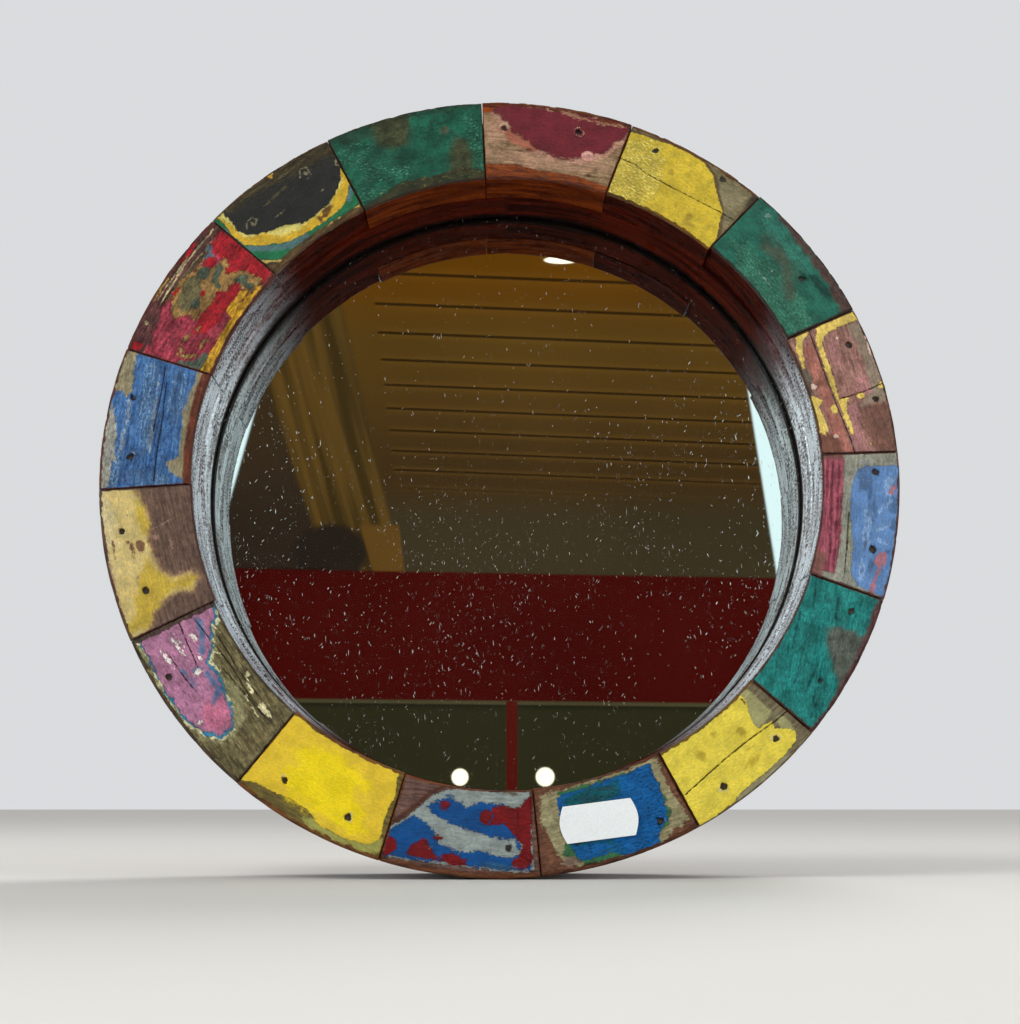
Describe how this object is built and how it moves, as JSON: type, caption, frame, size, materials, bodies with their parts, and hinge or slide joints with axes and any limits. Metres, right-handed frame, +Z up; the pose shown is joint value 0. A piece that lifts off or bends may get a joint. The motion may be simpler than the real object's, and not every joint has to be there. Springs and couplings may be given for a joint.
{
  "type": "wall mirror",
  "caption": "Round flat wall mirror in a deep turned wooden frame faced with nailed blocks of reclaimed painted timber, with a strap hanger on its back board.",
  "frame": {"origin": "centre of the part's bounding box, on the frame's axis, halfway through its depth", "axes": "+Y from the mirror's face to the wall side, +Z up, +X to the right of someone facing the mirror"},
  "size_m": [0.28, 0.046, 0.28],
  "materials": {
    "facing_maroon": "worn maroon boat paint over stained timber, satin",
    "facing_yellow": "worn yellow boat paint, satin",
    "facing_green": "worn sea-green boat paint, satin",
    "facing_pink_brown": "worn pink-brown paint with a split showing yellow, satin",
    "facing_blue": "worn blue boat paint over pale undercoat, satin",
    "facing_mauve": "mauve paint remnant over weathered grey timber, satin",
    "facing_ochre": "ochre-yellow paint remnant over bare timber, satin",
    "facing_red": "scraped red paint over ochre and olive coats, satin",
    "facing_black": "black paint oval with yellow and green coats showing round it, satin",
    "frame_mahogany": "mahogany-stained hardwood, glossy varnish",
    "mirror_silver": "flat silvered glass, polished",
    "back_hardboard": "brown hardboard, matt",
    "nail_steel": "dull rusted steel",
    "zinc_steel": "zinc plated, satin",
    "label_paper": "blank self-adhesive paper, matt"
  },
  "bodies": {
    "mirror": {"base_ring": "frame_mahogany", "facing_block_01": "facing_maroon", "facing_block_02": "facing_yellow", "facing_block_03": "facing_green", "facing_block_04": "facing_pink_brown", "facing_block_05": "facing_blue", "facing_block_06": "facing_green", "facing_block_07": "facing_yellow", "facing_block_08": "facing_blue", "facing_block_09": "facing_blue", "facing_block_10": "facing_yellow", "facing_block_11": "facing_mauve", "facing_block_12": "facing_ochre", "facing_block_13": "facing_blue", "facing_block_14": "facing_red", "facing_block_15": "facing_black", "facing_block_16": "facing_green", "nail_01_a": "nail_steel", "nail_01_b": "nail_steel", "nail_02_a": "nail_steel", "nail_02_b": "nail_steel", "nail_03_a": "nail_steel", "nail_03_b": "nail_steel", "nail_04_a": "nail_steel", "nail_04_b": "nail_steel", "nail_05_a": "nail_steel", "nail_05_b": "nail_steel", "nail_06_a": "nail_steel", "nail_06_b": "nail_steel", "nail_07_a": "nail_steel", "nail_07_b": "nail_steel", "nail_08_a": "nail_steel", "nail_08_b": "nail_steel", "nail_09_a": "nail_steel", "nail_09_b": "nail_steel", "nail_10_a": "nail_steel", "nail_10_b": "nail_steel", "nail_11_a": "nail_steel", "nail_11_b": "nail_steel", "nail_12_a": "nail_steel", "nail_12_b": "nail_steel", "nail_13_a": "nail_steel", "nail_13_b": "nail_steel", "nail_14_a": "nail_steel", "nail_14_b": "nail_steel", "nail_15_a": "nail_steel", "nail_15_b": "nail_steel", "nail_16_a": "nail_steel", "nail_16_b": "nail_steel", "mirror_glass": "mirror_silver", "back_board": "back_hardboard", "board_screw_1": "zinc_steel", "board_screw_2": "zinc_steel", "board_screw_3": "zinc_steel", "board_screw_4": "zinc_steel", "hanger_strap": "zinc_steel", "hanger_screw_1": "zinc_steel", "hanger_screw_2": "zinc_steel", "price_label": "label_paper"},
    "hanger_ring": {"hanger_ring": "zinc_steel"}
  },
  "joints": [
    {"name": "hanger_ring_swing", "type": "hinge", "parent": "mirror", "child": "hanger_ring", "pos_m": [0, 0.0206, 0.1], "axis": [1, 0, 0], "range_deg": [0, 180]}
  ]
}
